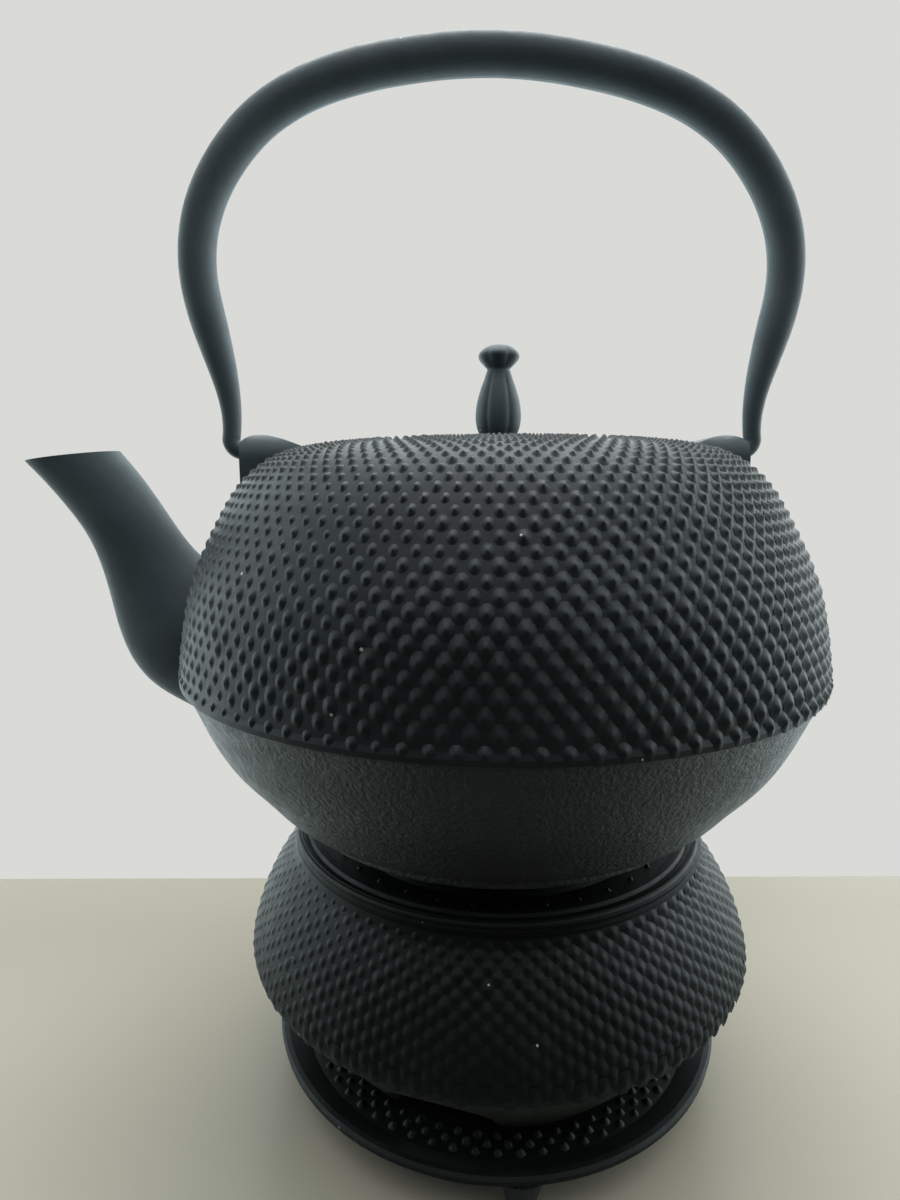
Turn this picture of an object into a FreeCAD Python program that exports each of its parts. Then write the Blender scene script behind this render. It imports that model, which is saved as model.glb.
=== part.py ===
import FreeCAD, Part

import math
import os

# Cast iron hobnail teapot with a swinging bail handle, standing on its matching tea light warmer
# and a footed trivet. Millimetres, +Z up. The spout points along -X and the bail stands in the XZ
# plane. Every piece is drawn around the teapot's own axis and then moved by AXIS_X along +X, which
# puts the origin in the plane that the feet stand on, under the middle of the whole.
# Outlines of turned pieces are (radius, height) pairs, listed upwards along an outer face.

# Driving dimensions
AXIS_X = 21.36            # half of what the spout's tip reaches beyond the belt
BELT_RADIUS = 90.0        # the sharp ridge where the two halves of the teapot meet
BELT_Z = 126.0
IRON_WALL = 3.2           # wall of every casting
SEAT_RADIUS = 40.3        # the recess in the dome that takes the infuser's rim and the lid
SEAT_Z = BELT_Z + 58.4
MOUTH_RADIUS = 35.5       # the opening under the seat
FOOT_RADIUS = 59.8        # the teapot's own foot ring
FOOT_Z = BELT_Z - 42.0
PIVOT_X = 72.6            # where the bail's ends turn into the lugs
PIVOT_Z = BELT_Z + 60.2
LUG_FACE_X = 72.3
LUG_WIDTH = 14.0
BAIL_END_RADIUS = 2.5
PIVOT_CLEARANCE = 0.1
BAIL_BEND = 3.1
COLLAR_RADIUS = 60.3      # the warmer's upstanding collar
COLLAR_Z = 76.0
LEDGE_Z = 70.6            # the ledge inside the collar that carries the rest ring
REST_RING_RADIUS = 57.8
REST_SEAT_Z = FOOT_Z + 3.0
SKIRT_TOP_Z = 39.0
TRIVET_RADIUS = 67.5
TRIVET_FLOOR_Z = 11.5
TRIVET_RIM_Z = 15.0
TRIVET_PLATE = 3.2
ARCH_COUNT = 3
ARCH_AZIMUTH = -110.0
FOOT_COUNT = 3
FOOT_AZIMUTH = -90.0
TEALIGHT_RADIUS = 19.0
TEALIGHT_HEIGHT = 15.0

UP = FreeCAD.Vector(0, 0, 1)
CENTRE = FreeCAD.Vector(0, 0, 0)
TOUCH = 1e-6

# Smooth outlines, without the hobnails
DOME_OUTLINE = [
    (89.5, BELT_Z + 2.4),
    (88.0, BELT_Z + 13.5),
    (84.9, BELT_Z + 26.5),
    (79.8, BELT_Z + 38.0),
    (73.3, BELT_Z + 49.3),
    (64.5, BELT_Z + 57.0),
    (53.0, BELT_Z + 60.4),
    (SEAT_RADIUS + 0.7, BELT_Z + 61.4),
]
BOWL_OUTLINE = [
    (60.4, BELT_Z - 39.2),
    (66.4, BELT_Z - 36.0),
    (72.6, BELT_Z - 28.9),
    (78.7, BELT_Z - 21.6),
    (82.9, BELT_Z - 14.4),
    (86.0, BELT_Z - 7.2),
    (88.6, BELT_Z - 1.0),
]
WARMER_OUTLINE = [
    (72.4, SKIRT_TOP_Z),
    (74.4, 42.4),
    (73.9, 46.5),
    (72.0, 52.5),
    (69.6, 58.0),
    (66.2, 63.8),
    (62.2, 69.2),
]
SKIRT_OUTLINE = [
    (50.2, TRIVET_FLOOR_Z),
    (56.4, 19.0),
    (63.9, 29.0),
    (70.9, SKIRT_TOP_Z),
]


def at(point):
    """Place of a (radius, height) pair in the XZ plane."""
    return FreeCAD.Vector(point[0], 0, point[1])


def smooth(points):
    """Smooth curve through (radius, height) pairs."""
    curve = Part.BSplineCurve()
    curve.interpolate([at(point) for point in points])
    return curve


def inset(points, depth):
    """The points of an outline moved inwards, at right angles to its smooth curve."""
    curve = smooth(points)
    moved = []
    for point in points:
        along = curve.tangent(curve.parameter(at(point)))[0]
        moved.append((point[0] - along.z * depth, point[1] + along.x * depth))
    return moved


def closed_face(pieces):
    """Face inside a closed outline. A list of points is a smooth curve, a single point a corner."""
    runs = [piece if isinstance(piece, list) else [piece] for piece in pieces]
    edges = []
    for index, run in enumerate(runs):
        start_of_next = at(runs[(index + 1) % len(runs)][0])
        end = at(run[-1])
        if len(run) > 1:
            edges.append(smooth(run).toShape())
        if end.distanceToPoint(start_of_next) > TOUCH:
            edges.append(Part.makeLine(end, start_of_next))
    return Part.Face(Part.Wire(edges))


def outward(solid):
    """The solid with its faces turned outwards."""
    if solid.Volume < 0:
        solid.reverse()
    return solid


def turned(*pieces):
    """Solid turned about the Z axis from a closed outline."""
    return outward(closed_face(pieces).revolve(CENTRE, UP, 360))


def cylinder(radius, low, high):
    """Upright cylinder on the Z axis."""
    return Part.makeCylinder(radius, high - low, FreeCAD.Vector(0, 0, low))


def mirrored(solid):
    """The same piece on the other side of the YZ plane."""
    return outward(solid.mirror(CENTRE, FreeCAD.Vector(1, 0, 0)))


def turned_to(solid, azimuth):
    """A copy turned about Z from +X to an azimuth in degrees."""
    copy = solid.copy()
    copy.rotate(CENTRE, UP, azimuth)
    return copy


# Teapot casting

def filled_body():
    """The teapot's outer shape as one full solid, used to trim what grows out of it."""
    return turned(
        (0, FOOT_Z),
        (FOOT_RADIUS, FOOT_Z),
        BOWL_OUTLINE,
        (BELT_RADIUS, BELT_Z),
        (BELT_RADIUS, BELT_Z + 1.2),
        DOME_OUTLINE,
        (0, DOME_OUTLINE[-1][1]),
    )


def belt_inside():
    """Where the inner faces of both halves meet."""
    return (BELT_RADIUS - IRON_WALL - 0.8, BELT_Z)


def kettle_dome():
    """Upper half: the hobnail shoulder with the seat for the lid."""
    collar_under = SEAT_Z - IRON_WALL
    inner = inset(DOME_OUTLINE[:-1], IRON_WALL)
    inner.reverse()
    return turned(
        (BELT_RADIUS, BELT_Z),
        (BELT_RADIUS, BELT_Z + 1.2),
        DOME_OUTLINE,
        (SEAT_RADIUS, DOME_OUTLINE[-1][1] - 0.5),
        (SEAT_RADIUS, SEAT_Z),
        (MOUTH_RADIUS, SEAT_Z),
        (MOUTH_RADIUS, collar_under),
        (SEAT_RADIUS + 3.0, collar_under),
        inner,
        belt_inside(),
    )


def kettle_bowl():
    """Lower half: the plain bowl, its foot ring, and the land inside it that stands on the rest ring."""
    inner = inset(BOWL_OUTLINE, IRON_WALL)
    inner.reverse()
    recess_radius = 37.0
    floor_radius = 40.0
    return turned(
        (0, REST_SEAT_Z + IRON_WALL),
        (recess_radius, REST_SEAT_Z + IRON_WALL),
        (recess_radius, REST_SEAT_Z),
        (FOOT_RADIUS - 4.6, REST_SEAT_Z),
        (FOOT_RADIUS - 4.2, FOOT_Z),
        (FOOT_RADIUS - 0.4, FOOT_Z),
        (FOOT_RADIUS, FOOT_Z + 0.4),
        BOWL_OUTLINE,
        (BELT_RADIUS, BELT_Z),
        belt_inside(),
        inner,
        (floor_radius, REST_SEAT_Z + 2 * IRON_WALL),
        (0, REST_SEAT_Z + 2 * IRON_WALL),
    )


# Spout sections from root to mouth: centre x, centre z, lean of the section's long axis from
# level in degrees, half of it, and half of the width across.
SPOUT_SECTIONS = [
    (-79.0, BELT_Z + 2.0, 60.0, 19.5, 15.5),
    (-88.5, BELT_Z + 8.5, 50.0, 19.8, 14.6),
    (-94.6, BELT_Z + 15.8, 38.0, 17.6, 12.9),
    (-99.3, BELT_Z + 24.8, 26.0, 13.8, 10.8),
    (-105.6, BELT_Z + 38.6, 20.0, 11.2, 9.4),
    (-111.5, BELT_Z + 48.2, 26.0, 10.9, 8.6),
    (-118.6, BELT_Z + 57.4, 35.0, 10.7, 8.0),
    (-125.4, BELT_Z + 65.0, 40.0, 10.6, 7.8),
]
SPOUT_TIP = (-132.1, BELT_Z + 57.4)
SPOUT_HEEL = (-107.2, BELT_Z + 60.1)


def ellipse_wire(centre_x, centre_z, lean, half_long, half_wide):
    """Closed oval whose long axis lies in the XZ plane, leaning up from level towards +X."""
    long_axis = FreeCAD.Vector(math.cos(math.radians(lean)), 0, math.sin(math.radians(lean)))
    across = FreeCAD.Vector(0, 1, 0)
    steps = 12
    points = []
    for step in range(steps):
        angle = 2 * math.pi * step / steps
        offset = long_axis * (half_long * math.cos(angle)) + across * (half_wide * math.sin(angle))
        points.append(FreeCAD.Vector(centre_x, 0, centre_z) + offset)
    curve = Part.BSplineCurve()
    curve.interpolate(points, PeriodicFlag=True)
    return Part.Wire(curve.toShape())


def spout_solid(wall):
    """Full solid of the spout, thinner all round by the wall."""
    wires = []
    for centre_x, centre_z, lean, half_long, half_wide in SPOUT_SECTIONS:
        wires.append(ellipse_wire(centre_x, centre_z, lean, half_long - wall, half_wide - wall))
    return outward(Part.makeLoft(wires, True, False))


def above_mouth():
    """Block over the slanting cut of the spout's mouth."""
    rise = (SPOUT_HEEL[1] - SPOUT_TIP[1]) / (SPOUT_HEEL[0] - SPOUT_TIP[0])
    reach = 40.0
    height = 60.0
    left = (SPOUT_TIP[0] - reach, SPOUT_TIP[1] - reach * rise)
    right = (SPOUT_HEEL[0] + reach, SPOUT_HEEL[1] + reach * rise)
    face = closed_face([left, right, (right[0], right[1] + height), (left[0], left[1] + height)])
    face.translate(FreeCAD.Vector(0, -reach, 0))
    return face.extrude(FreeCAD.Vector(0, 2 * reach, 0))


def kettle_spout(body, channel):
    """Spout, from the teapot's wall to the mouth, with its channel."""
    outer = spout_solid(0.0).cut(above_mouth())
    return outer.cut(body).cut(channel)


# Bail handle and its lugs

LUG_CREST = [
    (50.0, BELT_Z + 59.6),
    (58.5, BELT_Z + 62.5),
    (65.5, BELT_Z + 64.4),
    (69.8, BELT_Z + 64.2),
    (71.9, BELT_Z + 62.6),
    (LUG_FACE_X, BELT_Z + 60.4),
]


def bail_lug(body):
    """Ear on the right shoulder, with a blind hole for the end of the bail."""
    low_outside = (LUG_FACE_X, BELT_Z + 46.0)
    low_inside = (LUG_CREST[0][0], BELT_Z + 46.0)
    face = closed_face([LUG_CREST, low_outside, low_inside])
    face.translate(FreeCAD.Vector(0, -LUG_WIDTH / 2, 0))
    ear = outward(face.extrude(FreeCAD.Vector(0, LUG_WIDTH, 0)))
    half_width = LUG_WIDTH / 2
    round_z = BELT_Z + 64.6 - half_width
    knuckle = Part.makeCylinder(
        half_width, 40.0, FreeCAD.Vector(LUG_FACE_X - 35.0, 0, round_z), FreeCAD.Vector(1, 0, 0))
    base = Part.makeBox(40.0, LUG_WIDTH, 30.0, FreeCAD.Vector(LUG_FACE_X - 35.0, -half_width, round_z - 30.0))
    ear = ear.common(knuckle.fuse(base))
    hole = Part.makeCylinder(
        BAIL_END_RADIUS + PIVOT_CLEARANCE,
        LUG_WIDTH,
        FreeCAD.Vector(PIVOT_X - 9.0, 0, PIVOT_Z),
        FreeCAD.Vector(1, 0, 0),
    )
    return ear.cut(body).cut(hole)


BAIL_HALF = [
    (PIVOT_X + BAIL_BEND, PIVOT_Z + BAIL_BEND),
    (75.3, BELT_Z + 68.5),
    (75.6, BELT_Z + 74.0),
    (77.7, BELT_Z + 84.8),
    (80.4, BELT_Z + 95.6),
    (82.3, BELT_Z + 106.0),
    (82.1, BELT_Z + 116.0),
    (79.2, BELT_Z + 126.5),
    (73.6, BELT_Z + 136.4),
    (65.0, BELT_Z + 146.0),
    (52.5, BELT_Z + 154.0),
    (37.6, BELT_Z + 159.2),
    (20.0, BELT_Z + 162.6),
]
BAIL_CROWN = (0.0, BELT_Z + 164.1)
BAIL_SWELL_END = BELT_Z + 100.0
BAIL_THICK_RADIUS = 5.0


def bail_radius(height):
    """The bail is slim at its ends and swells smoothly to full thickness."""
    start = BAIL_HALF[0][1]
    share = min(1.0, max(0.0, (height - start) / (BAIL_SWELL_END - start)))
    eased = share * share * (3 - 2 * share)
    crown_share = max(0.0, (height - BAIL_SWELL_END) / (BAIL_CROWN[1] - BAIL_SWELL_END))
    return BAIL_END_RADIUS + (BAIL_THICK_RADIUS - BAIL_END_RADIUS) * eased + 0.2 * crown_share


def bail_section(centre, along, radius):
    """Circle square to the bail, at one place along it."""
    circle = Part.makeCircle(radius)
    lean = math.degrees(math.atan2(along.x, along.z)) % 360
    circle.rotate(CENTRE, FreeCAD.Vector(0, 1, 0), lean)
    circle.translate(centre)
    return Part.Wire(circle)


def bail_half():
    """Half of the bail's arch, lofted through round sections from the crown to the right end."""
    left = [(-x, z) for x, z in BAIL_HALF]
    points = left + [BAIL_CROWN] + BAIL_HALF[::-1]
    path = smooth(points)
    knots = [path.parameter(at(point)) for point in points[len(BAIL_HALF):]]
    wires = [bail_section(at(BAIL_CROWN), FreeCAD.Vector(1, 0, 0), bail_radius(BAIL_CROWN[1]))]
    for before, after in zip(knots, knots[1:]):
        for place in ((before + after) / 2, after):
            centre = path.value(place)
            wires.append(bail_section(centre, path.tangent(place)[0], bail_radius(centre.z)))
    wires[-1] = bail_section(at(BAIL_HALF[0]), -UP, BAIL_END_RADIUS)
    return outward(Part.makeLoft(wires, True, False))


def bail_end(half):
    """What follows the arch on the right: a tight bend, and a plain pin that points inwards."""
    cut = [face for face in half.Faces if face.CenterOfMass.distanceToPoint(at(BAIL_HALF[0])) < 0.1][0]
    bend_centre = FreeCAD.Vector(PIVOT_X, 0, PIVOT_Z + BAIL_BEND)
    bend = outward(cut.revolve(bend_centre, FreeCAD.Vector(0, 1, 0), 90))
    pin_start = cut.copy()
    pin_start.rotate(bend_centre, FreeCAD.Vector(0, 1, 0), 90)
    pin = outward(pin_start.extrude(FreeCAD.Vector(-8, 0, 0)))
    return bend.fuse(pin)


def bail_handle():
    """The whole bail, as one bar."""
    half = bail_half()
    end = bail_end(half)
    return half.fuse([mirrored(half), end, mirrored(end)])


# Lid and infuser

LID_RADIUS = SEAT_RADIUS - 0.4
RIM_THICK = 1.0
LID_Z = SEAT_Z + RIM_THICK
LID_TOP_Z = LID_Z + 3.8
LID_UNDER_Z = LID_Z + 1.4
LID_SKIRT_RADIUS = 32.8
STUD_RADIUS = 2.4
STUD_CLEARANCE = 0.05
KNOB_Z = LID_TOP_Z + 0.8
NUT_HEIGHT = 4.0
NUT_FLATS = 8.0
BASKET_TOP_RADIUS = 34.4
BASKET_LOW_RADIUS = 32.2
BASKET_LOW_Z = SEAT_Z - 44.0
BASKET_WALL = 0.7


def lid():
    """Lid: a shallow dome that lies flush in the seat, with a locating skirt underneath."""
    return turned(
        (LID_RADIUS, LID_Z),
        (LID_RADIUS, LID_Z + 1.6),
        [(LID_RADIUS - 0.5, LID_Z + 2.0), (22.0, LID_Z + 3.3), (7.5, LID_TOP_Z)],
        (STUD_RADIUS + 2 * STUD_CLEARANCE, LID_TOP_Z),
        (STUD_RADIUS + 2 * STUD_CLEARANCE, LID_UNDER_Z),
        (LID_SKIRT_RADIUS - 2.4, LID_UNDER_Z),
        (LID_SKIRT_RADIUS - 2.4, LID_Z - 5.0),
        (LID_SKIRT_RADIUS, LID_Z - 5.0),
        (LID_SKIRT_RADIUS, LID_Z),
    )


def lid_knob():
    """Knob: a vase-shaped bulb under a mushroom cap, with the stud that goes through the lid."""
    return turned(
        (0, LID_UNDER_Z - NUT_HEIGHT - 1.2),
        (STUD_RADIUS, LID_UNDER_Z - NUT_HEIGHT - 1.2),
        (STUD_RADIUS, KNOB_Z),
        (5.0, KNOB_Z),
        [
            (5.6, KNOB_Z + 1.0),
            (6.6, KNOB_Z + 6.2),
            (4.9, KNOB_Z + 12.6),
            (2.8, KNOB_Z + 17.0),
            (3.4, KNOB_Z + 19.4),
        ],
        [
            (5.4, KNOB_Z + 20.8),
            (5.8, KNOB_Z + 22.4),
            (4.4, KNOB_Z + 24.6),
            (0, KNOB_Z + 25.6),
        ],
    )


def knob_washer():
    """Thin round washer between the knob and the lid."""
    washer = cylinder(5.4, LID_TOP_Z, KNOB_Z)
    return washer.cut(cylinder(STUD_RADIUS + STUD_CLEARANCE, LID_TOP_Z - 1, KNOB_Z + 1))


def knob_nut():
    """Hexagon nut that holds the knob's stud from below."""
    corner = NUT_FLATS / math.sqrt(3)
    points = []
    for step in range(7):
        angle = math.pi * step / 3
        points.append(FreeCAD.Vector(corner * math.cos(angle), corner * math.sin(angle), 0))
    prism = Part.Face(Part.makePolygon(points)).extrude(UP * NUT_HEIGHT)
    prism.translate(UP * (LID_UNDER_Z - NUT_HEIGHT))
    return prism.cut(cylinder(STUD_RADIUS + STUD_CLEARANCE, LID_UNDER_Z - 2 * NUT_HEIGHT, LID_UNDER_Z + 1))


def infuser_rim():
    """Flat steel ring that hangs the basket in the seat."""
    ring = cylinder(LID_RADIUS, SEAT_Z, SEAT_Z + RIM_THICK)
    return ring.cut(cylinder(BASKET_TOP_RADIUS - BASKET_WALL, SEAT_Z - 1, SEAT_Z + RIM_THICK + 1))


def infuser_basket():
    """Slightly tapered wall of the tea basket."""
    return turned(
        (BASKET_LOW_RADIUS, BASKET_LOW_Z),
        (BASKET_TOP_RADIUS, SEAT_Z),
        (BASKET_TOP_RADIUS - BASKET_WALL, SEAT_Z),
        (BASKET_LOW_RADIUS - BASKET_WALL, BASKET_LOW_Z),
    )


def infuser_base():
    """Round bottom of the tea basket, with a rolled edge."""
    return turned(
        (0, BASKET_LOW_Z - BASKET_WALL),
        (BASKET_LOW_RADIUS, BASKET_LOW_Z - BASKET_WALL),
        (BASKET_LOW_RADIUS, BASKET_LOW_Z),
        (0, BASKET_LOW_Z),
    )


# Warmer

def warmer_shell():
    """Bulging hobnail ring with the collar and the inner ledge for the rest ring."""
    inner = inset(WARMER_OUTLINE, IRON_WALL)
    inner.reverse()
    ledge_under = LEDGE_Z - IRON_WALL
    collar_inside = REST_RING_RADIUS + 0.3
    return turned(
        WARMER_OUTLINE,
        (61.4, LEDGE_Z),
        (COLLAR_RADIUS + 0.5, LEDGE_Z + 2.4),
        (COLLAR_RADIUS + 0.4, COLLAR_Z - 0.5),
        (COLLAR_RADIUS, COLLAR_Z),
        (collar_inside, COLLAR_Z),
        (collar_inside, LEDGE_Z),
        (50.5, LEDGE_Z),
        (50.5, ledge_under),
        inner,
    )


def arch_cutter():
    """Prism of one air arch, reaching out along +X."""
    foot_half = 15.0
    spring_half = 13.5
    crown_z = 31.5
    spring_z = 24.0
    spring_left = FreeCAD.Vector(0, -spring_half, spring_z)
    spring_right = FreeCAD.Vector(0, spring_half, spring_z)
    low_left = FreeCAD.Vector(0, -foot_half, TRIVET_FLOOR_Z - 1)
    low_right = FreeCAD.Vector(0, foot_half, TRIVET_FLOOR_Z - 1)
    crown = Part.Arc(spring_left, FreeCAD.Vector(0, 0, crown_z), spring_right).toShape()
    wire = Part.Wire([
        Part.makeLine(low_right, low_left),
        Part.makeLine(low_left, spring_left),
        crown,
        Part.makeLine(spring_right, low_right),
    ])
    prism = outward(Part.Face(wire).extrude(FreeCAD.Vector(60, 0, 0)))
    prism.translate(FreeCAD.Vector(30, 0, 0))
    return prism


def warmer_skirt():
    """Undercut skirt below the bulge, cut by the air arches, standing on the trivet."""
    inner = inset(SKIRT_OUTLINE, IRON_WALL)
    inner[0] = (inner[0][0] + 0.6, TRIVET_FLOOR_Z)
    inner[-1] = (inner[-1][0], SKIRT_TOP_Z)
    inner.reverse()
    skirt = turned(SKIRT_OUTLINE, inner)
    arches = [
        turned_to(arch_cutter(), ARCH_AZIMUTH + 360 * index / ARCH_COUNT) for index in range(ARCH_COUNT)
    ]
    return skirt.cut(arches)


def kettle_rest_ring():
    """Loose ring that lies in the collar and carries the teapot on its raised inner seat."""
    seat_radius = 43.0
    hole_radius = 39.5
    channel_z = LEDGE_Z + 3.0
    return turned(
        (hole_radius, LEDGE_Z),
        (REST_RING_RADIUS, LEDGE_Z),
        (REST_RING_RADIUS, COLLAR_Z - 0.2),
        (REST_RING_RADIUS - 0.7, COLLAR_Z + 0.5),
        (REST_RING_RADIUS - 2.2, COLLAR_Z + 0.5),
        (REST_RING_RADIUS - 3.2, COLLAR_Z - 0.6),
        (REST_RING_RADIUS - 3.8, channel_z),
        (seat_radius + 3.0, channel_z),
        (seat_radius + 1.0, channel_z + 2.4),
        (seat_radius, REST_SEAT_Z),
        (hole_radius, REST_SEAT_Z),
    )


# Tea light

WICK_RADIUS = 0.8
CUP_WALL = 0.4
WAX_TOP_Z = TRIVET_FLOOR_Z + TEALIGHT_HEIGHT - 2.0
TAB_RADIUS = 7.0
TAB_THICK = 0.4


def tealight_cup():
    """Thin aluminium cup."""
    inner = TEALIGHT_RADIUS - CUP_WALL
    cup = cylinder(TEALIGHT_RADIUS, TRIVET_FLOOR_Z, TRIVET_FLOOR_Z + TEALIGHT_HEIGHT)
    return cup.cut(cylinder(inner, TRIVET_FLOOR_Z + CUP_WALL, TRIVET_FLOOR_Z + TEALIGHT_HEIGHT + 1))


def tealight_wick_tab():
    """Steel tab on the bottom of the cup that holds the wick upright."""
    low = TRIVET_FLOOR_Z + CUP_WALL
    return cylinder(TAB_RADIUS, low, low + TAB_THICK)


def tealight_wick():
    """Wick, standing on its tab and out of the wax."""
    return cylinder(WICK_RADIUS, TRIVET_FLOOR_Z + CUP_WALL + TAB_THICK, WAX_TOP_Z + 6.0)


def tealight_wax():
    """Wax that fills the cup around the tab and the wick."""
    block = cylinder(TEALIGHT_RADIUS - CUP_WALL, TRIVET_FLOOR_Z + CUP_WALL, WAX_TOP_Z)
    return block.cut(tealight_wick_tab()).cut(tealight_wick())


# Trivet

def trivet_plate():
    """Round saucer with a broad sloping rim."""
    under = TRIVET_FLOOR_Z - TRIVET_PLATE
    return turned(
        (0, under),
        (57.0, under),
        (64.5, under + 2.2),
        (TRIVET_RADIUS - 0.3, under + 4.4),
        (TRIVET_RADIUS, TRIVET_RIM_Z - 0.7),
        (TRIVET_RADIUS - 0.7, TRIVET_RIM_Z),
        (TRIVET_RADIUS - 2.0, TRIVET_RIM_Z),
        (59.4, TRIVET_FLOOR_Z),
        (0, TRIVET_FLOOR_Z),
    )


def trivet_foot(plate, azimuth):
    """Short tapered foot under the rim."""
    foot = Part.makeCone(2.9, 6.2, TRIVET_FLOOR_Z, FreeCAD.Vector(61.0, 0, 0))
    low_edges = [edge for edge in foot.Edges if edge.BoundBox.ZMax < TOUCH]
    foot = foot.makeFillet(0.8, low_edges)
    return turned_to(foot, azimuth).cut(plate)


def build():
    """Every piece by name."""
    body = filled_body()
    channel = spout_solid(2.6)
    lug = bail_lug(body)
    plate = trivet_plate()
    pieces = {
        "kettle_dome": kettle_dome().cut(channel),
        "kettle_bowl": kettle_bowl().cut(channel),
        "kettle_spout": kettle_spout(body, channel),
        "bail_lug_right": lug,
        "bail_lug_left": mirrored(lug),
        "bail_handle": bail_handle(),
        "lid": lid(),
        "lid_knob": lid_knob(),
        "knob_washer": knob_washer(),
        "knob_nut": knob_nut(),
        "infuser_rim": infuser_rim(),
        "infuser_basket": infuser_basket(),
        "infuser_base": infuser_base(),
        "kettle_rest_ring": kettle_rest_ring(),
        "warmer_shell": warmer_shell(),
        "warmer_skirt": warmer_skirt(),
        "tealight_cup": tealight_cup(),
        "tealight_wax": tealight_wax(),
        "tealight_wick": tealight_wick(),
        "tealight_wick_tab": tealight_wick_tab(),
        "trivet_plate": plate,
    }
    for index in range(FOOT_COUNT):
        azimuth = FOOT_AZIMUTH + 360 * index / FOOT_COUNT
        pieces["trivet_foot_%d" % (index + 1)] = trivet_foot(plate, azimuth)
    return pieces


os.makedirs("parts", exist_ok=True)
for name, shape in build().items():
    shape.translate(FreeCAD.Vector(AXIS_X, 0, 0))
    print(name, len(shape.Solids), "solid", round(shape.Volume, 1), "mm3", shape.isValid())
    shape.exportStep("parts/%s.step" % name)
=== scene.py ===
import math

import bpy
import numpy as np
from mathutils import Matrix, Vector
from mathutils.bvhtree import BVHTree


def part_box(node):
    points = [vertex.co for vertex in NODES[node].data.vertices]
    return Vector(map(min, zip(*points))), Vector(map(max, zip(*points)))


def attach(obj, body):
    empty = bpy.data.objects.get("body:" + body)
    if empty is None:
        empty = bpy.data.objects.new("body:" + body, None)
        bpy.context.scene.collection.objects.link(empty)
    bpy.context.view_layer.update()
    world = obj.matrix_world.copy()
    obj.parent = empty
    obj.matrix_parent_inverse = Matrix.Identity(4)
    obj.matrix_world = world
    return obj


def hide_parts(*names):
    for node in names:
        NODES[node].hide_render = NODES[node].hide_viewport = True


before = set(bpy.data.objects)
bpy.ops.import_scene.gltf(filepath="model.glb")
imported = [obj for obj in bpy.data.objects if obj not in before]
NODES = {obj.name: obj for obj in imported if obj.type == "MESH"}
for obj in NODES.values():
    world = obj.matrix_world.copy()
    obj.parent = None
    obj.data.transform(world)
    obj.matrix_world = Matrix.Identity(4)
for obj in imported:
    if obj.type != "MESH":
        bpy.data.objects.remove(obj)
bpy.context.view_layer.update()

# Cast iron hobnail teapot on its tea light warmer and footed trivet. Metres, +Z up, spout along -X.
# Sizes written as a number times MM are in millimetres.
MM = 0.001
BELT_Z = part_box("kettle_bowl")[1].z
AXIS = Vector(((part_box("kettle_bowl")[0].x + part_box("kettle_bowl")[1].x) / 2, 0, 0))
RAY_START = 0.3           # where search rays start, well outside the object
DOWN = Vector((0, 0, -1))
UP = (0, 0, 1)


# Small helpers

def tree_of(node):
    """Search tree of a CAD node's surface, measured from the teapot's axis."""
    mesh = NODES[node].data
    return BVHTree.FromPolygons([v.co - AXIS for v in mesh.vertices], [p.vertices for p in mesh.polygons])


def outline_of(tree, centre, first, last, count=240):
    """Outer outline of a turned CAD node, as (radius, height) rows, found by rays towards a point
    inside it, from the angle first to the angle last, in degrees above level."""
    rows = []
    for angle in np.radians(np.linspace(first, last, count)):
        outwards = Vector((0, math.cos(angle), math.sin(angle)))
        start = Vector((0, centre[0], centre[1])) + outwards * RAY_START
        hit = tree.ray_cast(start, -outwards)[0]
        rows.append((hit.y, hit.z))
    return np.array(rows)


def new_piece(name, vertices, faces, material, body, smooth=True):
    """Mesh object that rides on a body. Its vertices are given from the teapot's axis."""
    mesh = bpy.data.meshes.new(name)
    mesh.from_pydata(vertices, [], faces)
    mesh.transform(Matrix.Translation(AXIS))
    mesh.materials.append(material)
    mesh.polygons.foreach_set("use_smooth", [smooth] * len(mesh.polygons))
    mesh.update()
    piece = bpy.data.objects.new(name, mesh)
    bpy.context.scene.collection.objects.link(piece)
    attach(piece, body)
    return piece


def turned_piece(name, outline, segments, material, body, shape=None):
    """Surface turned from (radius, height) rows. shape(angle, row) scales the radius, for flutes."""
    vertices, faces = [], []
    for row, (radius, height) in enumerate(outline):
        for step in range(segments):
            angle = 2 * math.pi * step / segments
            scale = shape(angle, row) if shape else 1.0
            vertices.append((radius * scale * math.cos(angle), radius * scale * math.sin(angle), height))
    for row in range(len(outline) - 1):
        for step in range(segments):
            after = (step + 1) % segments
            low, high = row * segments, (row + 1) * segments
            faces.append((low + step, low + after, high + after, high + step))
    return new_piece(name, vertices, faces, material, body)


def smooth_rows(points, count):
    """Catmull-Rom curve through (radius, height) points."""
    points = np.array(points, float)
    padded = np.vstack([2 * points[0] - points[1], points, 2 * points[-1] - points[-2]])
    rows = []
    for place in np.linspace(0, len(points) - 1, count):
        index = min(int(place), len(points) - 2)
        t = place - index
        a, b, c, d = padded[index:index + 4]
        rows.append(0.5 * (2 * b + (c - a) * t + (2 * a - 5 * b + 4 * c - d) * t ** 2
                           + (3 * b - a - 3 * c + d) * t ** 3))
    return np.array(rows)


# Materials

def new_material(name):
    """New material, with its node tree and its shader."""
    material = bpy.data.materials.new(name)
    material.use_nodes = True
    tree = material.node_tree
    return material, tree, tree.nodes["Principled BSDF"]


def add(tree, kind, **values):
    """New node. Values go to its inputs by name, or to its own properties."""
    node = tree.nodes.new(kind)
    for name, value in values.items():
        title = name.replace("_", " ").capitalize()
        if title in node.inputs:
            node.inputs[title].default_value = value
        else:
            setattr(node, name, value)
    return node


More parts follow.
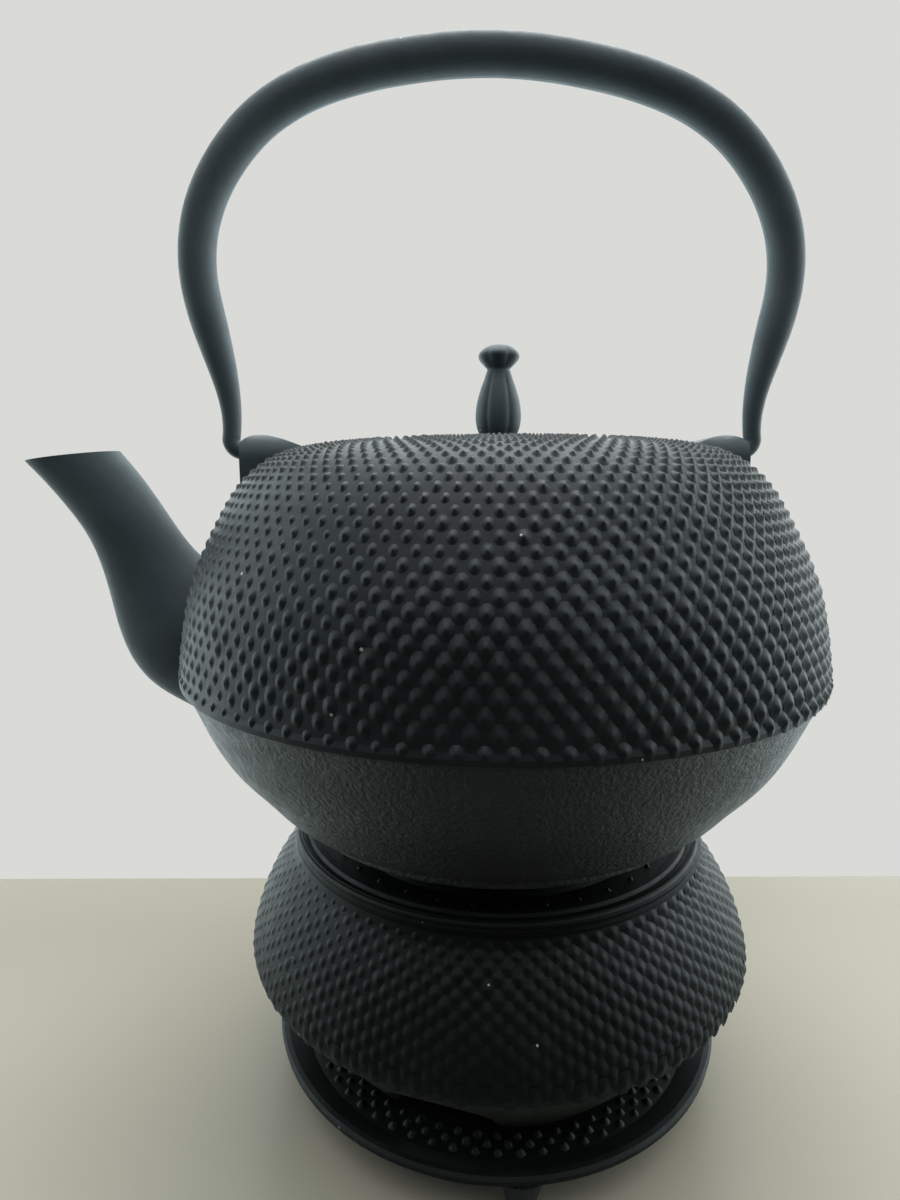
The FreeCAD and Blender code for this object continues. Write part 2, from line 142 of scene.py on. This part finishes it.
def noise(tree, scale, detail=3.0, roughness=0.5):
    """Noise texture in the object's own coordinates; scale is in cells per metre."""
    place = add(tree, "ShaderNodeTexCoord")
    texture = add(tree, "ShaderNodeTexNoise", scale=scale, detail=detail, roughness=roughness)
    tree.links.new(place.outputs["Object"], texture.inputs["Vector"])
    return texture.outputs["Fac"]


def ramp(tree, source, low, high, first, second):
    """Colour that runs from first to second as source goes from low to high."""
    node = add(tree, "ShaderNodeValToRGB")
    node.color_ramp.elements[0].position = low
    node.color_ramp.elements[0].color = (*first, 1)
    node.color_ramp.elements[1].position = high
    node.color_ramp.elements[1].color = (*second, 1)
    tree.links.new(source, node.inputs["Fac"])
    return node.outputs["Color"]


def spread(tree, source, low, high):
    """Number that runs from low to high as a noise texture goes through most of its range."""
    node = add(tree, "ShaderNodeMapRange")
    node.inputs["From Min"].default_value = 0.3
    node.inputs["From Max"].default_value = 0.7
    node.inputs["To Min"].default_value = low
    node.inputs["To Max"].default_value = high
    tree.links.new(source, node.inputs["Value"])
    return node.outputs["Result"]


def bump(tree, height, depth, before=None):
    """Bump of a real depth in metres, on top of another bump."""
    node = add(tree, "ShaderNodeBump", strength=1.0, distance=depth)
    tree.links.new(height, node.inputs["Height"])
    if before:
        tree.links.new(before, node.inputs["Normal"])
    return node.outputs["Normal"]


DUST_CELLS = 85           # cells per metre, with one speck somewhere in each
SPECK_RADIUS = 0.032      # share of a cell
DUST_COLOUR = (0.55, 0.58, 0.58, 1)


def dusty(tree, colour):
    """The colour with a rare pale speck of dust on it."""
    place = add(tree, "ShaderNodeTexCoord")
    cells = add(tree, "ShaderNodeTexVoronoi", scale=DUST_CELLS)
    tree.links.new(place.outputs["Object"], cells.inputs["Vector"])
    speck = add(tree, "ShaderNodeMath", operation="LESS_THAN")
    speck.inputs[1].default_value = SPECK_RADIUS
    tree.links.new(cells.outputs["Distance"], speck.inputs[0])
    mix = add(tree, "ShaderNodeMix", data_type="RGBA")
    mix.inputs["B"].default_value = DUST_COLOUR
    tree.links.new(speck.outputs["Value"], mix.inputs["Factor"])
    tree.links.new(colour, mix.inputs["A"])
    return mix.outputs["Result"]


def cast_iron(name, dark, light, rough_low, rough_high, grain, grain_depth, gloss=0.42):
    """Black cast iron: mottled colour, uneven sheen, and sand-cast grain over gentle waves."""
    material, tree, shader = new_material(name)
    mottled = ramp(tree, noise(tree, 90, 4), 0.35, 0.68, dark, light)
    tree.links.new(dusty(tree, mottled), shader.inputs["Base Color"])
    sheen = spread(tree, noise(tree, 260, 4, 0.6), rough_low, rough_high)
    tree.links.new(sheen, shader.inputs["Roughness"])
    waves = bump(tree, noise(tree, 140, 2), 0.12 * MM)
    fine = bump(tree, noise(tree, grain, 5, 0.62), grain_depth, waves)
    tree.links.new(fine, shader.inputs["Normal"])
    shader.inputs["Specular IOR Level"].default_value = gloss
    return material


def metal(name, colour, rough_low, rough_high, grain, grain_depth):
    """Bare metal with fine brushed grain."""
    material, tree, shader = new_material(name)
    mottle = noise(tree, grain, 4)
    paler = tuple(min(1.0, part * 1.12) for part in colour)
    tree.links.new(ramp(tree, mottle, 0.3, 0.7, colour, paler), shader.inputs["Base Color"])
    tree.links.new(spread(tree, mottle, rough_low, rough_high), shader.inputs["Roughness"])
    tree.links.new(bump(tree, mottle, grain_depth), shader.inputs["Normal"])
    shader.inputs["Metallic"].default_value = 1.0
    return material


def wax_material():
    """White paraffin wax, slightly cloudy."""
    material, tree, shader = new_material("wax_white")
    cloud = noise(tree, 120, 3)
    cloudy = ramp(tree, cloud, 0.3, 0.7, (0.80, 0.78, 0.72), (0.88, 0.87, 0.83))
    tree.links.new(cloudy, shader.inputs["Base Color"])
    tree.links.new(spread(tree, cloud, 0.35, 0.5), shader.inputs["Roughness"])
    tree.links.new(bump(tree, noise(tree, 300, 2), 0.05 * MM), shader.inputs["Normal"])
    shader.inputs["Subsurface Weight"].default_value = 0.3
    shader.inputs["Subsurface Scale"].default_value = 2 * MM
    return material


def wick_material():
    """Braided cotton."""
    material, tree, shader = new_material("wick_cotton")
    fibre = noise(tree, 1500, 3)
    braided = ramp(tree, fibre, 0.35, 0.65, (0.62, 0.58, 0.50), (0.82, 0.79, 0.72))
    tree.links.new(braided, shader.inputs["Base Color"])
    tree.links.new(bump(tree, fibre, 0.1 * MM), shader.inputs["Normal"])
    shader.inputs["Roughness"].default_value = 0.9
    return material


IRON_HOBNAIL = cast_iron("iron_hobnail", (0.006, 0.008, 0.009), (0.010, 0.013, 0.0145),
                         0.42, 0.54, 1500, 0.03 * MM, 0.44)
# Painted shade: a darker, duller copy of the hobnail iron for the warmer, trivet and rest ring, standing
# in for the shade under the kettle.
IRON_LOW_PAINTED_SHADE = cast_iron("iron_low_painted_shade", (0.003, 0.0036, 0.0036), (0.006, 0.0072, 0.0072),
                     0.44, 0.58, 1500, 0.03 * MM, 0.30)
# Painted shade: the warmer's darker iron with even less gloss, so the collar's ridges look shaded under
# the kettle.
IRON_COLLAR_PAINTED_SHADE = cast_iron("iron_collar_painted_shade", (0.003, 0.0036, 0.0036), (0.006, 0.0072, 0.0072),
                        0.44, 0.58, 1500, 0.03 * MM, 0.15)
IRON_ROUGH = cast_iron("iron_rough", (0.004, 0.005, 0.0045), (0.009, 0.011, 0.010),
                       0.36, 0.50, 800, 1.1 * MM, 0.85)
# Painted light: a paler, brownish copy of the iron, standing in for the light the table throws onto the
# skirt.
IRON_SKIRT_PAINTED_LIGHT = cast_iron("iron_skirt_painted_light", (0.060, 0.060, 0.051), (0.080, 0.080, 0.068),
                       0.36, 0.50, 800, 0.3 * MM)
# Pale blue-grey iron for the spout, lugs, knob and bail: partly a smoother, paler finish, partly painted
# reflection of the bluish surroundings.
IRON_SMOOTH_PAINTED_REFLECTION = cast_iron("iron_smooth_painted_reflection", (0.064, 0.083, 0.093), (0.077, 0.100, 0.112),
                        0.52, 0.64, 1800, 0.02 * MM, 0.40)
IRON_BAIL_PAINTED_REFLECTION = cast_iron("iron_bail_painted_reflection", (0.072, 0.092, 0.104), (0.086, 0.110, 0.124),
                      0.50, 0.62, 1800, 0.02 * MM, 0.45)
STEEL = metal("steel_satin", (0.56, 0.56, 0.54), 0.24, 0.38, 900, 0.01 * MM)
FOIL = metal("foil_bright", (0.78, 0.78, 0.77), 0.18, 0.30, 400, 0.05 * MM)
WAX = wax_material()
WICK = wick_material()
# Painted shade: near-black matte discs stand in for the dark seen through the infuser's holes.
HOLE_PAINTED_SHADE = cast_iron("hole_painted_shade", (0.002, 0.002, 0.002), (0.004, 0.004, 0.004),
                 0.6, 0.8, 900, 0.02 * MM, 0.1)

CAD_MATERIALS = {
    IRON_HOBNAIL: ["kettle_dome", "lid", "lid_knob"],
    # The warmer's shell, the trivet's plate and the rest ring get the darker copy of the iron as painted
    # shade.
    IRON_LOW_PAINTED_SHADE: ["warmer_shell", "trivet_plate", "kettle_rest_ring"],
    # The skirt gets the paler copy of the iron as painted light from the table.
    IRON_SKIRT_PAINTED_LIGHT: ["warmer_skirt"],
    IRON_ROUGH: ["kettle_bowl", "trivet_foot_1", "trivet_foot_2", "trivet_foot_3"],
    # The spout and lugs get the pale iron, partly painted reflection.
    IRON_SMOOTH_PAINTED_REFLECTION: ["kettle_spout", "bail_lug_right", "bail_lug_left"],
    # The bail gets the pale iron, partly painted reflection.
    IRON_BAIL_PAINTED_REFLECTION: ["bail_handle"],
    STEEL: ["knob_washer", "knob_nut", "infuser_rim", "infuser_basket", "infuser_base",
            "tealight_wick_tab"],
    FOIL: ["tealight_cup"],
    WAX: ["tealight_wax"],
    WICK: ["tealight_wick"],
}
for material, names in CAD_MATERIALS.items():
    for name in names:
        NODES[name].data.materials.clear()
        NODES[name].data.materials.append(material)


# Hobnails

# From tip to foot: share of the stud's radius and of its height. The foot lies inside the casting.
STUD_PROFILE = [(0.0, 1.0), (0.15, 0.92), (0.38, 0.66), (0.64, 0.34), (0.88, 0.08), (1.08, -0.08)]
STUD_SIDES = 10
UNEVEN = 0.07             # how much the studs' sizes vary, as a share
CHANCE = np.random.default_rng(7)
SHOULDER_COLUMNS = 110
SHOULDER_ROW_GAP = 0.0362     # share of the radius
SHOULDER_STRETCH = 1.28
LID_SEAT_RADIUS = 42.2 * MM
WARMER_COLUMNS = 88
WARMER_ROW_GAP = 2.2 * MM
WARMER_STRETCH = 1.2
TRIVET_COLUMNS = 64
FIRST_ROW = 1.2 * MM      # up the outline from where it starts
ON_SURFACE = 0.4 * MM     # a place nearer than this lies on the surface


def studs(name, places, normals, radii, heights, material, body, stretch=1.0):
    """One mesh of round-tipped cones, each standing on its place along its normal, and longer by
    stretch along the outline than around the axis."""
    places, normals = np.array(places), np.array(normals)
    uneven = 1 + UNEVEN * CHANCE.standard_normal(len(places))
    radii = (np.array(radii) * uneven)[:, None, None]
    heights = (np.array(heights) * uneven)[:, None, None]
    side = np.stack([-places[:, 1], places[:, 0], np.zeros(len(places))], axis=1)
    side /= np.linalg.norm(side, axis=1)[:, None]
    up = np.cross(normals, side) * stretch
    ring = 2 * np.pi * np.arange(STUD_SIDES) / STUD_SIDES
    shape = [(0.0, 0.0, STUD_PROFILE[0][1])]
    for share, height in STUD_PROFILE[1:]:
        shape += [(share * math.cos(angle), share * math.sin(angle), height) for angle in ring]
    shape = np.array(shape)
    corners = (places[:, None, :]
               + radii * (shape[None, :, 0:1] * side[:, None, :] + shape[None, :, 1:2] * up[:, None, :])
               + heights * shape[None, :, 2:3] * normals[:, None, :])
    pattern = []
    for step in range(STUD_SIDES):
        after = (step + 1) % STUD_SIDES
        pattern.append((0, 1 + step, 1 + after))
        for level in range(len(STUD_PROFILE) - 2):
            inner, outer = 1 + level * STUD_SIDES, 1 + (level + 1) * STUD_SIDES
            pattern.append((inner + step, outer + step, outer + after, inner + after))
    faces = []
    for index in range(len(places)):
        first = index * len(shape)
        faces += [tuple(first + corner for corner in face) for face in pattern]
    return new_piece(name, corners.reshape(-1, 3).tolist(), faces, material, body)


def ring_angle(column, row, columns):
    """Angle of a column, turned by half a column in every second row."""
    return 2 * math.pi * (column + 0.5 * (row % 2)) / columns


def staggered_rows(outline, columns, gap):
    """Places, normals and pitches of studs in staggered rows up an outline. gap(radius) is the
    distance between rows."""
    steps = np.hypot(*np.diff(outline, axis=0).T)
    arc = np.concatenate([[0], np.cumsum(steps)])
    lean = np.gradient(outline, arc, axis=0)
    reach = 7
    window = np.ones(2 * reach + 1) / (2 * reach + 1)
    padded = [np.pad(part, reach, mode="edge") for part in lean.T]
    lean = np.stack([np.convolve(part, window, "valid") for part in padded], axis=1)
    places, normals, pitches = [], [], []
    place, row = FIRST_ROW, 0
    while place < arc[-1]:
        radius, height = np.interp(place, arc, outline[:, 0]), np.interp(place, arc, outline[:, 1])
        along = np.array([np.interp(place, arc, lean[:, 0]), np.interp(place, arc, lean[:, 1])])
        along /= np.linalg.norm(along)
        for column in range(columns):
            angle = ring_angle(column, row, columns)
            places.append((radius * math.cos(angle), radius * math.sin(angle), height))
            normals.append((along[1] * math.cos(angle), along[1] * math.sin(angle), -along[0]))
            pitches.append(2 * math.pi * radius / columns)
        place += gap(radius)
        row += 1
    return np.array(places), np.array(normals), np.array(pitches)


def clear_of(places, own, others, margin):
    """Which places lie on their own CAD surface and stay clear of the pieces that grow out of it."""
    keep = []
    for place in places:
        on_own = own.find_nearest(Vector(place))[3] < ON_SURFACE
        apart = all(other.find_nearest(Vector(place))[3] > margin for other in others)
        keep.append(on_own and apart)
    return np.array(keep)


def shoulder_hobnails():
    """Hobnails over the whole shoulder, from just above the belt to the lid's seat. They get thinner
    from 18 to 50 mm above the belt, and are lowest 45 mm above it."""
    dome = tree_of("kettle_dome")
    grown_out = [tree_of(node) for node in ("kettle_spout", "bail_lug_right", "bail_lug_left")]
    outline = outline_of(dome, (45 * MM, BELT_Z), 1.0, 93.0)
    places, normals, pitches = staggered_rows(
        outline, SHOULDER_COLUMNS, lambda radius: SHOULDER_ROW_GAP * radius)
    margin = 0.8 * MM
    keep = clear_of(places, dome, grown_out, margin)
    keep &= np.hypot(places[:, 0], places[:, 1]) > LID_SEAT_RADIUS
    places, normals, pitches = places[keep], normals[keep], pitches[keep]
    belt_row = places[:, 2] < BELT_Z + 3 * MM
    sizes = pitches * np.where(belt_row, 0.8, 1.0)
    above_belt = (places[:, 2] - BELT_Z) / MM
    radii = sizes * np.interp(above_belt, [18, 50], [0.41, 0.30])
    heights = np.interp(above_belt, [18, 45, 62], [0.84, 0.72, 0.92]) * MM
    low = places[:, 2] < BELT_Z + 40 * MM
    for name, part in (("shoulder_hobnails_low", low), ("shoulder_hobnails_high", ~low)):
        studs(name, places[part], normals[part], radii[part], heights[part],
              IRON_HOBNAIL, "kettle", SHOULDER_STRETCH)


def warmer_hobnails():
    """Hobnails over the warmer's bulge, from above the skirt to under the collar's ridges."""
    shell = tree_of("warmer_shell")
    outline = outline_of(shell, (50 * MM, 50 * MM), -18.0, 66.0)
    places, normals, pitches = staggered_rows(outline, WARMER_COLUMNS, lambda radius: WARMER_ROW_GAP)
    low_edge, high_edge = 40.4 * MM, 72.6 * MM
    keep = (places[:, 2] > low_edge) & (places[:, 2] < high_edge)
    keep &= clear_of(places, shell, [], 0)
    places, normals, pitches = places[keep], normals[keep], pitches[keep]
    # The warmer's hobnails take the darker copy of the iron, as painted shade.
    studs("warmer_hobnails", places, normals, 0.40 * pitches, 0.11 * pitches,
          IRON_LOW_PAINTED_SHADE, "warmer", WARMER_STRETCH)


def even_studs(name, places, radius, height, material, body):
    """Upright studs of one size, apart from their unevenness."""
    count = len(places)
    studs(name, places, [UP] * count, [radius] * count, [height] * count, material, body)


def dropped(tree, radius, angle):
    """Where a ray from high above meets the surface, at a radius and an angle."""
    start = Vector((radius * math.cos(angle), radius * math.sin(angle), RAY_START))
    return tree.ray_cast(start, DOWN)[0]


def trivet_hobnails():
    """Rings of hobnails on the trivet's floor, clear of where the warmer and the tea light stand."""
    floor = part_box("tealight_cup")[0].z
    places = []
    rings = [57.4, 55.0, 52.6, 43.6, 41.2, 38.8, 36.4, 34.0, 31.6, 29.2, 26.8, 24.4]
    for row, radius in enumerate(rings):
        columns = TRIVET_COLUMNS if radius > 34 else TRIVET_COLUMNS // 2
        for column in range(columns):
            angle = ring_angle(column, row, columns)
            places.append((radius * MM * math.cos(angle), radius * MM * math.sin(angle), floor))
    # The trivet's hobnails take the darker copy of the iron, as painted shade.
    even_studs("trivet_hobnails", places, 1.3 * MM, 1.1 * MM, IRON_LOW_PAINTED_SHADE, "trivet")


def lid_hobnails():
    """Rings of evenly spaced hobnails over the lid."""
    top = tree_of("lid")
    rings, spacing = np.arange(11.0, 38.5, 2.4), 2.9
    places = []
    for row, radius in enumerate(rings):
        columns = int(round(2 * math.pi * radius / spacing / 2)) * 2
        for column in range(columns):
            places.append(dropped(top, radius * MM, ring_angle(column, row, columns)))
    even_studs("lid_hobnails", places, 0.95 * MM, 0.4 * MM, IRON_HOBNAIL, "lid_group")


def ring_studs():
    """The single row of small studs in the rest ring's channel."""
    channel = tree_of("kettle_rest_ring")
    count, radius = 35, 50 * MM
    places = [dropped(channel, radius, 2 * math.pi * step / count) for step in range(count)]
    # The ring's studs take the darker copy of the iron, as painted shade.
    even_studs("rest_ring_studs", places, 0.9 * MM, 0.7 * MM, IRON_LOW_PAINTED_SHADE, "rest_ring")


def collar_ridges():
    """Fine ridges round the lip of the warmer's collar."""
    rows = [(60.7, 72.4), (61.3, 73.0), (61.3, 73.4), (60.7, 74.0), (60.7, 74.4), (61.1, 74.9),
            (60.6, 75.4), (60.1, 75.5), (60.0, 76.1), (59.5, 76.4), (59.1, 75.9), (58.7, 76.1),
            (58.4, 75.5)]
    outline = [(radius * MM, height * MM) for radius, height in rows]
    # The ridges take the duller copy of the warmer's iron, as painted shade.
    turned_piece("collar_ridges", outline, 192, IRON_COLLAR_PAINTED_SHADE, "warmer")


# Knob

def knob():
    """Fluted bulb under a scalloped bud, on its washer."""
    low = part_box("knob_washer")[1].z
    outline = [(0.1, 0.0), (5.2, 0.0), (5.6, 0.9), (6.35, 2.8), (6.7, 5.6), (6.35, 9.2), (5.4, 12.8),
               (4.2, 16.0), (3.5, 18.0), (3.25, 18.9), (4.2, 19.9), (5.5, 21.3), (6.1, 22.5),
               (5.5, 23.6), (3.7, 24.9), (1.5, 25.5), (0.05, 25.6)]
    rows = smooth_rows(outline, 110)
    flutes = 6
    turn = math.radians(97)
    bulb_top, bud_middle, bud_half = 18.6, 22.2, 3.2

    def shape(angle, row):
        """Flutes that fade out at both ends of the bulb, and lobes round the bud."""
        height = rows[row][1]
        bulb = min(1.0, max(0.0, (bulb_top - height) / 3.0)) * min(1.0, height / 1.2)
        bud = max(0.0, 1 - ((height - bud_middle) / bud_half) ** 2)
        lobe = abs(math.cos(flutes * (angle + turn) / 2))
        uneven = 0.03 * math.sin(3 * angle + 0.8) * bud
        return 1 - 0.07 * bulb * (1 - lobe) ** 2.5 - 0.08 * bud * (1 - lobe) + uneven

    knob_rows = [(radius * MM, low + height * MM) for radius, height in rows]
    # The knob takes the bail's pale iron, partly painted reflection.
    piece = turned_piece("knob_bud", knob_rows, 128, IRON_BAIL_PAINTED_REFLECTION, "lid_group", shape)
    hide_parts("lid_knob")


# Infuser and tea light

def holes(name, places, normals, radius):
    """Etched holes of the infuser: one dark flat disc each, just off the steel, as painted shade for the
    dark seen through each hole.
    """
    sides, lift = 8, 0.03 * MM
    vertices, faces = [], []
    for place, normal in zip(places, normals):
        out = Vector(normal).normalized()
        side = out.orthogonal().normalized()
        up = out.cross(side)
        first = len(vertices)
        for step in range(sides):
            angle = 2 * math.pi * step / sides
            spoke = side * math.cos(angle) + up * math.sin(angle)
            vertices.append(Vector(place) + spoke * radius + out * lift)
        faces.append(tuple(range(first, first + sides)))
    new_piece(name, vertices, faces, HOLE_PAINTED_SHADE, "infuser", smooth=False)


def infuser_holes():
    """Staggered rows round the basket's wall and rings over its base, outside and inside."""
    basket_low, basket_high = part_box("infuser_basket")
    base_low, base_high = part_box("infuser_base")
    wall, plain_edge, row_gap = 0.7 * MM, 4 * MM, 1.9 * MM
    columns, hole_radius = 96, 0.45 * MM
    base_rings, base_spacing = np.arange(2.5, 29.5, 2.1) * MM, 2.2 * MM
    heights = np.arange(basket_low.z + plain_edge, basket_high.z - plain_edge, row_gap)
    places, normals = [], []
    for row, height in enumerate(heights):
        share = (height - basket_low.z) / (basket_high.z - basket_low.z)
        radius = base_high.y + (basket_high.y - base_high.y) * share
        level = Vector((0, 0, height))
        for column in range(columns):
            angle = ring_angle(column, row, columns)
            out = Vector((math.cos(angle), math.sin(angle), 0))
            places += [out * radius + level, out * (radius - wall) + level]
            normals += [out, -out]
    for radius in base_rings:
        count = int(round(2 * math.pi * radius / base_spacing))
        for step in range(count):
            angle = 2 * math.pi * step / count
            for height, lean in ((base_low.z, -1), (base_high.z, 1)):
                places.append(Vector((radius * math.cos(angle), radius * math.sin(angle), height)))
                normals.append(Vector((0, 0, lean)))
    holes("infuser_holes", places, normals, hole_radius)


def foil_cup():
    """Pressed foil cup with fine flutes round its side and a rolled rim."""
    low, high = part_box("tealight_cup")
    radius, height = (high.y - low.y) / 2, high.z - low.z
    wall = 0.4 * MM
    outline = [(0.05 * MM, 0), (radius - 1.0 * MM, 0), (radius - 0.3 * MM, 0.4 * MM),
               (radius - 0.1 * MM, 1.4 * MM), (radius - 0.1 * MM, height - 1.8 * MM),
               (radius - 0.25 * MM, height - 1.2 * MM), (radius - 0.05 * MM, height - 0.8 * MM),
               (radius + 0.25 * MM, height - 0.3 * MM), (radius + 0.1 * MM, height),
               (radius - wall, height - 0.1 * MM), (radius - wall, height - 1.0 * MM),
               (radius - wall, wall), (0.05 * MM, wall)]
    fluted_rows, flutes, flute_depth = (2, 3, 4), 40, 0.018

    def shape(angle, row):
        """Flutes on the outside of the cup."""
        if row not in fluted_rows:
            return 1.0
        return 1 - flute_depth * (0.5 + 0.5 * math.cos(flutes * angle))

    rows = [(row_radius, low.z + row_height) for row_radius, row_height in outline]
    piece = turned_piece("foil_cup", rows, 240, FOIL, "tealight", shape)
    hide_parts("tealight_cup")


infuser_holes()
foil_cup()
shoulder_hobnails()
warmer_hobnails()
trivet_hobnails()
lid_hobnails()
ring_studs()
collar_ridges()
knob()


# Surroundings

TABLE_EDGE = 90.4 * MM    # where the table ends behind the object
TABLE_REACH = 3.0         # how far it goes in the other directions
TABLE_PAINTED_LIGHT_RUN = (-0.12, 0.06)     # from where to where along Y its painted light and shade run
WORLD_RUN = (-0.50, 0.30)     # from what to what Y of the direction the light from all round brightens
CAMERA_YAW = math.radians(3.135)
CAMERA_PITCH = math.radians(9.078)
CAMERA_ROLL = math.radians(-0.176)
CAMERA_PLACE = Vector((-25.7, -212.1, 176.4)) * MM    # from the foot of the teapot's axis
OBJECT_MIDDLE = (0, 0, 0.12)
WINDOW_WEIGHT = 0.42      # share of the direction's X, to the right, that counts as Y for that
BACKDROP = (0.70, 0.70, 0.68, 1)


def camera_or_light(tree, shown, lighting):
    """Colour that is shown to camera rays, and lighting for all other rays."""
    seen = add(tree, "ShaderNodeMix", data_type="RGBA")
    path = add(tree, "ShaderNodeLightPath")
    tree.links.new(path.outputs["Is Camera Ray"], seen.inputs["Factor"])
    tree.links.new(lighting, seen.inputs["A"])
    if isinstance(shown, tuple):
        seen.inputs["B"].default_value = shown
    else:
        tree.links.new(shown, seen.inputs["B"])
    return seen.outputs["Result"]


def table():
    """Pale, slightly glossy table top whose far edge is level in the picture. It shows the camera painted
    light and shade: paler in front and darker towards the far edge. For the light it bounces onto the
    object, its front part is painted dark as painted shade and its far part pale as painted light."""
    material, tree, shader = new_material("table_paint_and_painted_light")
    place = add(tree, "ShaderNodeTexCoord")
    split = add(tree, "ShaderNodeSeparateXYZ")
    tree.links.new(place.outputs["Object"], split.inputs["Vector"])
    back = add(tree, "ShaderNodeMapRange")
    back.inputs["From Min"].default_value = TABLE_PAINTED_LIGHT_RUN[0]
    back.inputs["From Max"].default_value = TABLE_PAINTED_LIGHT_RUN[1]
    tree.links.new(split.outputs["Y"], back.inputs["Value"])
    # Painted light and shade seen by the camera: paler in front, darker towards the far edge.
    shown = ramp(tree, back.outputs["Result"], 0.0, 1.0, (0.450, 0.403, 0.327), (0.306, 0.268, 0.212))
    # Painted shade and light for bounced light only: dark on the front part, pale on the far part.
    painted_bounce = ramp(tree, back.outputs["Result"], 0.0, 1.0, (0.08, 0.075, 0.065), (0.52, 0.56, 0.52))
    tree.links.new(camera_or_light(tree, shown, painted_bounce), shader.inputs["Base Color"])
    shader.inputs["Roughness"].default_value = 0.28
    shader.inputs["Specular IOR Level"].default_value = 0.12
    mesh = bpy.data.meshes.new("table")
    corners = [(-TABLE_REACH, -TABLE_REACH, 0), (TABLE_REACH, -TABLE_REACH, 0),
               (TABLE_REACH, TABLE_EDGE, 0), (-TABLE_REACH, TABLE_EDGE, 0)]
    mesh.from_pydata(corners, [], [(0, 1, 2, 3)])
    mesh.transform(Matrix.Translation(AXIS) @ Matrix.Rotation(-CAMERA_YAW, 4, "Z"))
    mesh.materials.append(material)
    top = bpy.data.objects.new("table", mesh)
    bpy.context.scene.collection.objects.link(top)


def surroundings():
    """Light from all round, brighter behind the object and to its right than in front of it. The
    camera sees a plain pale backdrop instead."""
    studio = bpy.data.worlds.new("studio")
    bpy.context.scene.world = studio
    studio.use_nodes = True
    tree = studio.node_tree
    background = tree.nodes["Background"]
    place = add(tree, "ShaderNodeTexCoord")
    split = add(tree, "ShaderNodeSeparateXYZ")
    tree.links.new(place.outputs["Generated"], split.inputs["Vector"])
    behind = add(tree, "ShaderNodeMapRange")
    behind.inputs["From Min"].default_value = WORLD_RUN[0]
    behind.inputs["From Max"].default_value = WORLD_RUN[1]
    right = add(tree, "ShaderNodeMath", operation="MAXIMUM")
    right.inputs[1].default_value = 0.0
    tree.links.new(split.outputs["X"], right.inputs[0])
    towards = add(tree, "ShaderNodeMath", operation="MULTIPLY_ADD")
    towards.inputs[1].default_value = WINDOW_WEIGHT
    tree.links.new(right.outputs["Value"], towards.inputs[0])
    tree.links.new(split.outputs["Y"], towards.inputs[2])
    tree.links.new(towards.outputs["Value"], behind.inputs["Value"])
    lit = ramp(tree, behind.outputs["Result"], 0.0, 1.0, (0.010, 0.014, 0.016), (1.64, 1.92, 1.96))
    tree.links.new(camera_or_light(tree, BACKDROP, lit), background.inputs["Color"])


def softbox(name, place, target, size, power):
    """Rectangular lamp at a place, turned to a target. Power is in watts."""
    light = bpy.data.lights.new(name, "AREA")
    light.shape = "RECTANGLE"
    light.size, light.size_y = size
    light.energy = power
    lamp = bpy.data.objects.new(name, light)
    lamp.location = place
    lamp.rotation_euler = (Vector(target) - Vector(place)).to_track_quat("-Z", "Y").to_euler()
    bpy.context.scene.collection.objects.link(lamp)


def camera():
    """Close, a little above the belt and slightly left of the front."""
    pitch, yaw, roll = CAMERA_PITCH, CAMERA_YAW, CAMERA_ROLL
    ahead = Vector((math.sin(yaw) * math.cos(pitch), math.cos(yaw) * math.cos(pitch), -math.sin(pitch)))
    right = Vector((math.cos(yaw), -math.sin(yaw), 0))
    up = right.cross(ahead)
    tilted_right = math.cos(roll) * right + math.sin(roll) * up
    tilted_up = math.cos(roll) * up - math.sin(roll) * right
    data = bpy.data.cameras.new("camera")
    data.lens = 21.6
    data.sensor_width = 36.0
    data.clip_start = 0.01
    eye = bpy.data.objects.new("camera", data)
    turn = Matrix((tilted_right, tilted_up, -ahead)).transposed().to_4x4()
    eye.matrix_world = Matrix.Translation(AXIS + CAMERA_PLACE) @ turn
    bpy.context.scene.collection.objects.link(eye)
    bpy.context.scene.camera = eye


table()
surroundings()
softbox("window_light", (0.80, 0.45, 0.40), OBJECT_MIDDLE, (0.9, 0.9), 3.0)
softbox("top_light", (0.10, 0.42, 1.10), OBJECT_MIDDLE, (0.9, 0.7), 7.0)
softbox("front_fill", (-0.10, -0.50, 1.00), (0, -0.1, 0), (0.9, 0.6), 2.2)
camera()
bpy.context.scene.view_settings.view_transform = "Standard"
